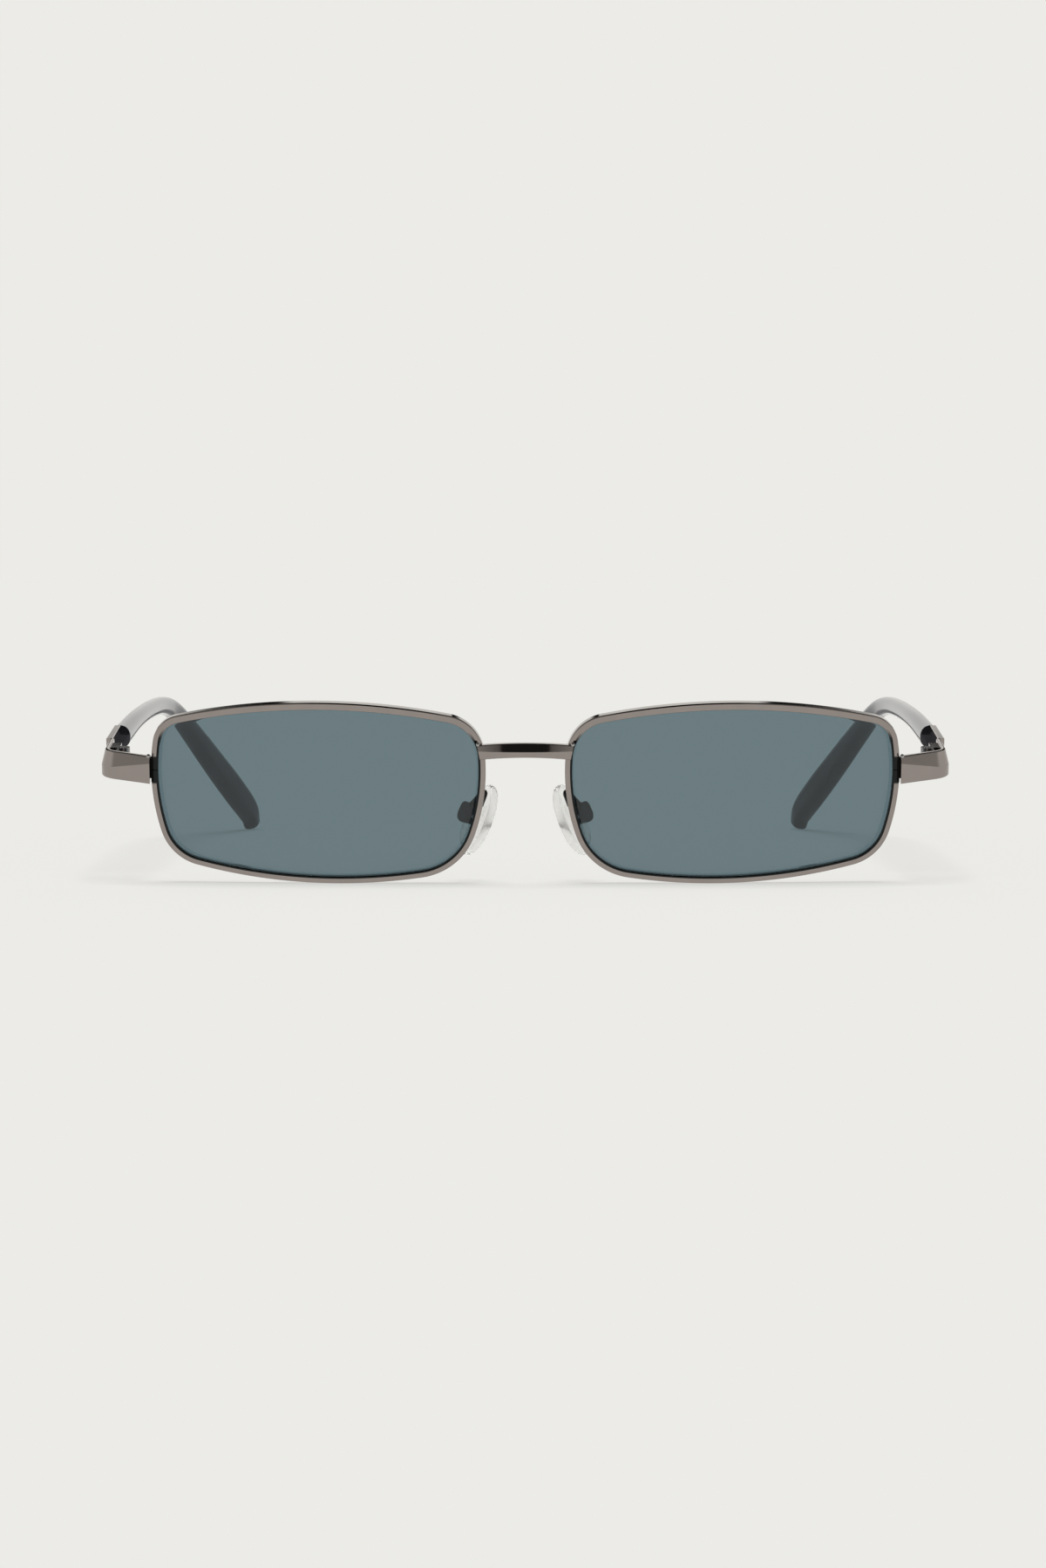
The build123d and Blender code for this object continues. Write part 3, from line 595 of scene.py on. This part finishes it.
def pad_points(local):
    """Points drawn on the pad, X away from the nose, set in place: a splay about Z, then a slant about Y."""
    pad = settings().pad
    x, y, z = np.moveaxis(np.asarray(local, float), -1, 0)
    splay, slant = -pad.splay, -pad.slant
    x, y = x * np.cos(splay) - y * np.sin(splay), x * np.sin(splay) + y * np.cos(splay)
    x, z = x * np.cos(slant) + z * np.sin(slant), -x * np.sin(slant) + z * np.cos(slant)
    return np.stack([x, y, z], -1) + np.array(list(pad.middle))


def pad_grid():
    """The cushion: an oval whose half thickness falls off near its edge as on a rounded cushion."""
    pad = settings().pad
    lift = np.linspace(0.03, np.pi - 0.03, 35)
    wide = np.sin(lift) ** 0.55
    thick = np.sign(np.cos(lift)) * np.abs(np.cos(lift)) ** 0.62
    turn = np.linspace(0, 2 * np.pi, 64, endpoint=False)
    y = wide[:, None] * np.cos(turn) * pad.width / 2
    z = wide[:, None] * np.sin(turn) * pad.height / 2
    x = thick[:, None] * pad.thickness / 2 + 0 * y
    ends = [pad_points(np.array([way * pad.thickness / 2, 0, 0])) for way in (1, -1)]
    return pad_points(np.stack([x, y, z], -1)), ends


def node_group(name, inputs, outputs):
    """A new shader node group with named float or vector sockets, and its two end nodes."""
    group = bpy.data.node_groups.new(name, "ShaderNodeTree")
    for socket, kind, value in inputs:
        made = group.interface.new_socket(name=socket, in_out="INPUT", socket_type=kind)
        if value is not None:
            made.default_value = value
    for socket, kind in outputs:
        group.interface.new_socket(name=socket, in_out="OUTPUT", socket_type=kind)
    return group, group.nodes.new("NodeGroupInput"), group.nodes.new("NodeGroupOutput")


def add_node(tree, kind, inputs=(), **values):
    """A node with its settings and sockets filled in. A socket's value may be another node's output."""
    node = tree.nodes.new(kind)
    for key, value in values.items():
        setattr(node, key, value)
    for key, value in dict(inputs).items():
        if isinstance(value, bpy.types.NodeSocket):
            tree.links.new(value, node.inputs[key])
        else:
            node.inputs[key].default_value = value
    return node


def math_node(tree, operation, *values):
    """What one Math node makes of numbers or other nodes' outputs."""
    return add_node(tree, "ShaderNodeMath", dict(enumerate(values)), operation=operation).outputs[0]


def ramp(tree, value, low, high):
    """A level that rises evenly from nothing at the low value to one at the high value."""
    given = {"Value": value, "From Min": low, "From Max": high}
    return add_node(tree, "ShaderNodeMapRange", given).outputs[0]


def blend(tree, part, first, second):
    """A shader that is the first one less a part, and the second one in its place."""
    return add_node(tree, "ShaderNodeMixShader", {0: part, 1: first.outputs[0], 2: second.outputs[0]})


def polish_group():
    """Fine marks left by polishing and wiping: long thin noise for height, broad noise for cloudy gloss."""
    if "Polish marks" in bpy.data.node_groups:
        return bpy.data.node_groups["Polish marks"]
    group, given, made = node_group(
        "Polish marks",
        [("Vector", "NodeSocketVector", None), ("Fineness", "NodeSocketFloat", 9000.0),
         ("Cloud Size", "NodeSocketFloat", 160.0), ("Gloss", "NodeSocketFloat", 0.06),
         ("Spread", "NodeSocketFloat", 0.05)],
        [("Height", "NodeSocketFloat"), ("Roughness", "NodeSocketFloat"), ("Clouds", "NodeSocketFloat")],
    )
    vector, fineness, cloud_size, gloss, spread = list(given.outputs)[:5]
    stretched = add_node(group, "ShaderNodeMapping", {"Vector": vector, "Scale": (0.06, 1.0, 1.0)})
    marks, clouds = (
        add_node(group, "ShaderNodeTexNoise", {"Vector": spots, "Scale": size, "Detail": detail})
        for spots, size, detail in ((stretched.outputs[0], fineness, 3.0), (vector, cloud_size, 4.0)))
    even = ramp(group, clouds.outputs["Fac"], 0.35, 0.7)
    extra = math_node(group, "MULTIPLY", even, spread)
    group.links.new(marks.outputs["Fac"], made.inputs["Height"])
    group.links.new(math_node(group, "ADD", extra, gloss), made.inputs["Roughness"])
    group.links.new(even, made.inputs["Clouds"])
    return group


def new_material(name):
    """A material with an empty node tree, its output and one Principled BSDF joined to it."""
    material = bpy.data.materials.new(name)
    material.use_nodes = True
    tree = material.node_tree
    tree.nodes.clear()
    shader = tree.nodes.new("ShaderNodeBsdfPrincipled")
    output = tree.nodes.new("ShaderNodeOutputMaterial")
    tree.links.new(shader.outputs[0], output.inputs["Surface"])
    return material, tree, shader, output


def polished(tree, shader, source, gloss, spread, fineness, cloud_size, bump):
    """Joins the shared polish marks, laid out by UV or Object, to a shader's roughness and normal."""
    places = tree.nodes.new("ShaderNodeTexCoord")
    given = {"Vector": places.outputs[source], "Fineness": fineness, "Cloud Size": cloud_size, "Gloss": gloss,
             "Spread": spread}
    marks = add_node(tree, "ShaderNodeGroup", given, node_tree=polish_group())
    tree.links.new(marks.outputs["Roughness"], shader.inputs["Roughness"])
    relief = add_node(tree, "ShaderNodeBump", {"Height": marks.outputs["Height"], "Strength": bump,
                                               "Distance": 0.02 * MM})
    tree.links.new(relief.outputs[0], shader.inputs["Normal"])
    return marks.outputs["Clouds"]


def mixed_colour(tree, factor, first, second):
    """A colour between two, by a factor that changes over the surface."""
    given = {0: factor, 6: (*first, 1.0), 7: (*second, 1.0)}
    return add_node(tree, "ShaderNodeMix", given, data_type="RGBA").outputs[2]


def metal_material(name, colour, gloss, spread, bump=0.2, source="Object"):
    """Polished or satin metal: a metallic shader with polish marks, a touch paler where it is cloudy."""
    if name in bpy.data.materials:
        return bpy.data.materials[name]
    material, tree, shader, _ = new_material(name)
    clouds = polished(tree, shader, source, gloss, spread, 9000.0, 240.0, bump)
    shade = mixed_colour(tree, clouds, [c * 0.97 for c in colour], [min(c * 1.04, 1) for c in colour])
    tree.links.new(shade, shader.inputs["Base Color"])
    shader.inputs["Metallic"].default_value = 1.0
    return material


def plastic_material():
    """Glossy black plastic with faint wiping marks under a clear surface."""
    material, tree, shader, _ = new_material("Black gloss plastic")
    colour = list(settings().finish.plastic)
    clouds = polished(tree, shader, "UV", 0.05, 0.06, 5000.0, 120.0, 0.05)
    shade = mixed_colour(tree, clouds, colour, [c * 1.35 for c in colour])
    tree.links.new(shade, shader.inputs["Base Color"])
    surface = {"IOR": 1.45, "Specular Tint": (0.86, 0.85, 1.0, 1.0), "Coat Weight": 0.2,
               "Coat Roughness": 0.03, "Sheen Weight": 0.08, "Sheen Tint": (0.84, 0.84, 1.0, 1.0)}
    for name, value in surface.items():
        shader.inputs[name].default_value = value
    return material


def clear_material(name, colour, gloss, ior, spread=0.0, clear=1.0):
    """Clear or tinted glass that lets lamps and the floor's plain light straight through."""
    if name in bpy.data.materials:
        return bpy.data.materials[name]
    material, tree, shader, output = new_material(name)
    surface = {"Base Color": (*colour, 1.0), "Transmission Weight": clear, "IOR": ior, "Roughness": gloss}
    for key, value in surface.items():
        shader.inputs[key].default_value = value
    if spread:
        polished(tree, shader, "Object", gloss, spread, 2500.0, 300.0, 0.03)
    through = add_node(tree, "ShaderNodeBsdfTransparent", {"Color": (*[c ** 0.5 for c in colour], 1.0)})
    rays = tree.nodes.new("ShaderNodeLightPath").outputs
    plain = math_node(tree, "MAXIMUM", rays["Is Shadow Ray"], rays["Is Diffuse Ray"])
    tree.links.new(blend(tree, plain, shader, through).outputs[0], output.inputs["Surface"])
    return material


def gunmetal():
    """The mirror finish that rims, bridge, end pieces and temples share."""
    return metal_material("Polished gunmetal", list(settings().finish.gunmetal), 0.045, 0.035, 0.06, "UV")


def rim_metal(grid):
    """The same mirror finish, with painted shade at the rim's split and on its inner side.

    The painted shade is near black. It stands in for the shade in the gap by the closing block and in the
    lens groove. The first UV coordinate is the length run along the rim, from under the split round to above
    it. The second is the length run round its section, from the front outer edge. The inner side of the top
    is left without painted shade.
    """
    rim = settings().rim
    corner_drop, fade, split_fade = 1.2 * MM, 2.0 * MM, 0.3 * MM
    material = gunmetal().copy()
    material.name = "Polished rim gunmetal"
    tree = material.node_tree
    shader = next(node for node in tree.nodes if node.type == "BSDF_PRINCIPLED")
    places = tree.nodes.new("ShaderNodeTexCoord")
    along, around, _ = add_node(tree, "ShaderNodeSeparateXYZ", {0: places.outputs["UV"]}).outputs
    after = math_node(tree, "GREATER_THAN", around, rim.width - rim.front_round)
    before = math_node(tree, "LESS_THAN", around, rim.width + rim.depth - 2 * rim.front_round)
    run = path_lengths(grid)
    top = run[grid[:, 0, 2] > rim.top_nose[1] - corner_drop]
    from_top = math_node(tree, "ABSOLUTE", math_node(tree, "SUBTRACT", along, (top[0] + top[-1]) / 2))
    off_top = ramp(tree, from_top, (top[-1] - top[0]) / 2, (top[-1] - top[0]) / 2 + fade)
    inside = math_node(tree, "MULTIPLY", math_node(tree, "MULTIPLY", after, before), off_top)
    half = run[-1] / 2
    from_half = math_node(tree, "ABSOLUTE", math_node(tree, "SUBTRACT", along, half))
    split = ramp(tree, from_half, half - rim.split_shade_run, half - rim.split_shade_run + split_fade)
    # Painted shade: the base colour turns near black on the inner side and at the split.
    mix = add_node(tree, "ShaderNodeMix", {0: math_node(tree, "MAXIMUM", inside, split),
                                           6: shader.inputs["Base Color"].links[0].from_socket,
                                           7: (*settings().finish.groove_and_split_shade, 1.0)}, data_type="RGBA")
    tree.links.new(mix.outputs[2], shader.inputs["Base Color"])
    return material


def fitting_metal():
    """The dark satin finish of the soldered fittings, kept as packed. On the rim locks its darkness is
    painted shade for the gap round them.
    """
    return metal_material("Satin gunmetal", list(settings().finish.fitting), 0.28, 0.12)


def hinge_metal():
    """The smooth grey finish of the hinge leaves."""
    return metal_material("Hinge metal", list(settings().finish.hinge), 0.16, 0.12)


def fastener_metal():
    """Plain bright steel for screws and wire."""
    return metal_material("Screw steel", list(settings().finish.fastener), 0.18, 0.1)


def silicone():
    """Clear soft silicone with a slightly greasy surface."""
    return clear_material("Clear silicone", list(settings().finish.silicone), 0.10, 1.26, 0.08, clear=0.9)


def insert_plastic():
    """The clear stiff plastic inside the pads, which hardly shows against the silicone."""
    return clear_material("Clear insert", list(settings().finish.silicone), 0.05, 1.03)


class SUNGLASSES_OT_stage(bpy.types.Operator):
    """Makes the floor, the plain light and the camera"""

    bl_idname = "sunglasses.stage"
    bl_label = "Stage"

    def execute(self, context):
        studio = settings().studio
        scene = context.scene
        scene.view_settings.view_transform = "Standard"
        self.make_floor(scene, studio)
        self.make_world(scene, studio)
        lamp = bpy.data.lights.new("overhead", "SUN")
        lamp.energy = np.pi * (1 - studio.sky_level)
        lamp.angle = studio.softness
        overhead = bpy.data.objects.new("overhead", lamp)
        overhead.visible_glossy = False
        scene.collection.objects.link(overhead)
        view = bpy.data.cameras.new("front view")
        view.lens, view.sensor_width, view.clip_start, view.shift_x = studio.lens, 36.0, 0.01, studio.shift
        camera = bpy.data.objects.new("front view", view)
        camera.location = (0.0, fold["pos_m"][1] - studio.distance, studio.camera_height)
        camera.rotation_euler = (np.pi / 2 - studio.pitch, 0.0, 0.0)
        scene.collection.objects.link(camera)
        scene.camera = camera
        return {"FINISHED"}

    def make_floor(self, scene, studio):
        """A wide plain floor, which partly glows so that shadows stay light."""
        material, tree, shader, output = new_material("Pale floor")
        tree.nodes.remove(shader)
        matt = add_node(tree, "ShaderNodeBsdfDiffuse", {"Color": (*studio.backdrop, 1.0)})
        glow = add_node(tree, "ShaderNodeEmission", {"Color": (*studio.backdrop, 1.0)})
        tree.links.new(blend(tree, studio.floor_glow, matt, glow).outputs[0], output.inputs["Surface"])
        mesh = bpy.data.meshes.new("floor")
        reach = 30.0
        mesh.from_pydata([(x, y, 0.0) for x, y in box_corners(2 * reach, 2 * reach)], [], [(0, 1, 2, 3)])
        mesh.materials.append(material)
        floor = bpy.data.objects.new("floor", mesh)
        floor.visible_glossy = False
        scene.collection.objects.link(floor)

    def make_world(self, scene, studio):
        """Plain light from all round, and a studio that only mirrors see."""
        world = bpy.data.worlds.new("studio")
        world.use_nodes = True
        scene.world = world
        tree = world.node_tree
        tree.nodes.clear()
        rays = tree.nodes.new("ShaderNodeLightPath").outputs
        backdrop = (*studio.backdrop, 1.0)
        white = (1.0, 1.0, 1.0, 1.0)
        levels = (white, studio.sky_level), (backdrop, self.mirrored_level(tree)), (backdrop, 1.0)
        plain, gloss, seen = (add_node(tree, "ShaderNodeBackground", {"Color": colour, "Strength": strength})
                              for colour, strength in levels)
        eye = math_node(tree, "MAXIMUM", rays["Is Camera Ray"], rays["Is Transmission Ray"])
        lit = blend(tree, rays["Is Glossy Ray"], plain, gloss)
        output = tree.nodes.new("ShaderNodeOutputWorld")
        tree.links.new(blend(tree, eye, lit, seen).outputs[0], output.inputs["Surface"])

    def mirrored_level(self, tree):
        """What mirrors see, as a share of the backdrop's brightness.

        Below a boundary lies the pale table. The boundary runs level in front, falls towards the sides, where
        the table ends, and rises behind, where the backdrop stands. Above it the room is dim, black in the
        middle in front and dark behind, with one bright strip high up behind.
        """
        way = tree.nodes.new("ShaderNodeTexCoord").outputs["Generated"]
        across, back, height = add_node(tree, "ShaderNodeSeparateXYZ", {0: way}).outputs
        side = math_node(tree, "ABSOLUTE", across)
        edge = self.steps(tree, back, (-1.0, -0.03), (-0.5, -0.04), (-0.15, -0.20), (0.05, 0.0), (0.35, 0.30),
                          (1.0, 0.30))
        above = math_node(tree, "SUBTRACT", height, edge)
        pale = self.steps(tree, above, (-1.0, 1.0), (-0.012, 1.0), (0.012, 0.0), (1.0, 0.0))
        centre = self.steps(tree, side, (0.0, 0.03), (0.19, 0.03), (0.205, 0.24), (0.39, 0.58), (0.50, 0.55),
                            (0.75, 0.60), (0.93, 1.0), (1.0, 1.0))
        low = self.steps(tree, height, (0.0, 1.0), (0.42, 1.0), (0.60, 0.45), (1.0, 0.45))
        front = self.steps(tree, back, (-1.0, 1.0), (0.30, 1.0), (0.42, 0.08), (1.0, 0.08))
        strip = self.steps(tree, side, (0.0, 1.1), (0.078, 1.1), (0.09, 0.0), (1.0, 0.0))
        tall = self.steps(tree, height, (0.0, 0.0), (0.29, 0.0), (0.31, 1.0), (0.47, 1.0), (0.50, 0.0),
                          (1.0, 0.0))
        behind = self.steps(tree, back, (-1.0, 0.0), (0.1, 0.0), (0.2, 1.0), (1.0, 1.0))
        room = math_node(tree, "MULTIPLY", math_node(tree, "MULTIPLY", centre, low), front)
        lamp = math_node(tree, "MULTIPLY", math_node(tree, "MULTIPLY", strip, tall), behind)
        return math_node(tree, "MAXIMUM", math_node(tree, "ADD", room, lamp), pale)

    def steps(self, tree, value, *stops):
        """A level that runs evenly from stop to stop, for a value between the first stop and the last."""
        low, high = stops[0][0], stops[-1][0]
        curve = add_node(tree, "ShaderNodeFloatCurve", {"Value": ramp(tree, value, low, high)})
        line = curve.mapping.curves[0]
        curve.mapping.clip_min_y, curve.mapping.clip_max_y = -2.0, 2.0
        spots = [((place - low) / (high - low), level) for place, level in stops]
        line.points[0].location, line.points[-1].location = spots[0], spots[-1]
        for spot in spots[1:-1]:
            line.points.new(*spot)
        for point in line.points:
            point.handle_type = "VECTOR"
        curve.mapping.update()
        return curve.outputs[0]


class SUNGLASSES_OT_rims(bpy.types.Operator):
    """Makes both rims"""

    bl_idname = "sunglasses.rims"
    bl_label = "Rims"

    def execute(self, context):
        grid = rim_grid()
        add_pair("rim_band", grid, rim_metal(grid), "front", ["rim"])
        return {"FINISHED"}


class SUNGLASSES_OT_lenses(bpy.types.Operator):
    """Makes both tinted lenses"""

    bl_idname = "sunglasses.lenses"
    bl_label = "Lenses"

    def execute(self, context):
        grid, poles = lens_grid()
        material = clear_material("Tinted lens", list(settings().finish.lens), 0.0, 1.5)
        add_pair("tinted_lens", grid, material, "front", ["lens"], poles)
        return {"FINISHED"}


class SUNGLASSES_OT_bridge(bpy.types.Operator):
    """Makes the bridge bar"""

    bl_idname = "sunglasses.bridge"
    bl_label = "Bridge"

    def execute(self, context):
        surface = skin(set_down(bridge_grid()))
        add_piece("bridge_bar", surface, gunmetal(), "front", ["bridge"])
        return {"FINISHED"}


class SUNGLASSES_OT_solder(bpy.types.Operator):
    """Makes the beads of solder where the bridge and the end pieces meet the rims"""

    bl_idname = "sunglasses.solder"
    bl_label = "Solder"

    def execute(self, context):
        bridge, end, solder = settings().bridge, settings().endpiece, settings().solder
        inner_top = end.side_z + end.height / 2 - (end.outer_x - end.start_x) * np.tan(end.rise)
        beads = {"bridge_solder": ((bridge.half_length, 0.0, bridge.end_high), solder.at_bridge),
                 "end_solder": ((end.start_x, end.start_y, inner_top), solder.at_end)}
        for name, (corner, offset) in beads.items():
            grid, poles = bead_grid(np.array(corner) + np.array(list(offset)), solder.radius)
            add_pair(name, grid, fastener_metal(), "front", [], poles)
        return {"FINISHED"}


class SUNGLASSES_OT_endpieces(bpy.types.Operator):
    """Makes both end pieces"""

    bl_idname = "sunglasses.endpieces"
    bl_label = "End pieces"

    def execute(self, context):
        add_pair("end_strip", endpiece_grid(), gunmetal(), "front", ["endpiece"])
        return {"FINISHED"}


class SUNGLASSES_OT_temples(bpy.types.Operator):
    """Makes the metal fronts and plastic arms of both temples"""

    bl_idname = "sunglasses.temples"
    bl_label = "Temples"

    def execute(self, context):
        add_pair("temple_plate", plate_grid(), gunmetal(), "temple", ["temple_front"])
        add_pair("plastic_arm", arm_grid(), plastic_material(), "temple", ["temple_arm"])
        return {"FINISHED"}


class SUNGLASSES_OT_nose_pads(bpy.types.Operator):
    """Makes the clear cushions of both nose pads"""

    bl_idname = "sunglasses.nose_pads"
    bl_label = "Nose pads"

    def execute(self, context):
        grid, ends = pad_grid()
        add_pair("pad_cushion", grid, silicone(), "nose_pad", ["nose_pad"], ends)
        return {"FINISHED"}


class SUNGLASSES_OT_fittings(bpy.types.Operator):
    """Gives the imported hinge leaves, locks, pad boxes and screws their metal"""

    bl_idname = "sunglasses.fittings"
    bl_label = "Fittings"

    def execute(self, context):
        # The locks' dark satin finish also paints the shade in the gap round them.
        finishes = {fitting_metal: ("rim_lock_upper", "rim_lock_lower", "pad_arm", "pad_box"),
                    hinge_metal: ("hinge_front_leaf", "hinge_temple_leaf"),
                    fastener_metal: ("temple_core", "hinge_screws", "rim_lock_screws", "pad_screws"),
                    insert_plastic: ("nose_pad_core",)}
        for name, node in frame["nodes"].items():
            for finish, starts in finishes.items():
                if not name.startswith(starts):
                    continue
                if not node.material_slots:
                    node.data.materials.append(None)
                for spot in node.material_slots:
                    spot.material = finish()
        return {"FINISHED"}


class SUNGLASSES_PT_panel(bpy.types.Panel):
    """Lists the sunglasses' pieces in the order that they are built"""

    bl_idname = "SUNGLASSES_PT_panel"
    bl_label = "Sunglasses"
    bl_space_type = "VIEW_3D"
    bl_region_type = "UI"
    bl_category = "Sunglasses"

    def draw(self, context):
        for operator in OPERATORS:
            self.layout.operator(operator.bl_idname)


GROUPS = (RimSizes, LensSizes, BridgeSizes, EndpieceSizes, TempleSizes, PadSizes, SolderSizes, FinishColours,
          StudioSettings, SunglassesSettings)
OPERATORS = (SUNGLASSES_OT_stage, SUNGLASSES_OT_rims, SUNGLASSES_OT_lenses, SUNGLASSES_OT_bridge,
             SUNGLASSES_OT_solder, SUNGLASSES_OT_endpieces, SUNGLASSES_OT_temples, SUNGLASSES_OT_nose_pads,
             SUNGLASSES_OT_fittings)


def register():
    """Registers the settings, operators and panel."""
    for group in GROUPS + OPERATORS + (SUNGLASSES_PT_panel,):
        bpy.utils.register_class(group)
    bpy.types.Scene.sunglasses = PointerProperty(type=SunglassesSettings)


def unregister():
    """Removes what register added."""
    del bpy.types.Scene.sunglasses
    for group in reversed(GROUPS + OPERATORS + (SUNGLASSES_PT_panel,)):
        bpy.utils.unregister_class(group)


def main():
    """Registers the add-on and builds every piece."""
    register()
    bpy.ops.sunglasses.stage()
    bpy.ops.sunglasses.rims()
    bpy.ops.sunglasses.lenses()
    bpy.ops.sunglasses.bridge()
    bpy.ops.sunglasses.solder()
    bpy.ops.sunglasses.endpieces()
    bpy.ops.sunglasses.temples()
    bpy.ops.sunglasses.nose_pads()
    bpy.ops.sunglasses.fittings()


if __name__ == "__main__":
    main()
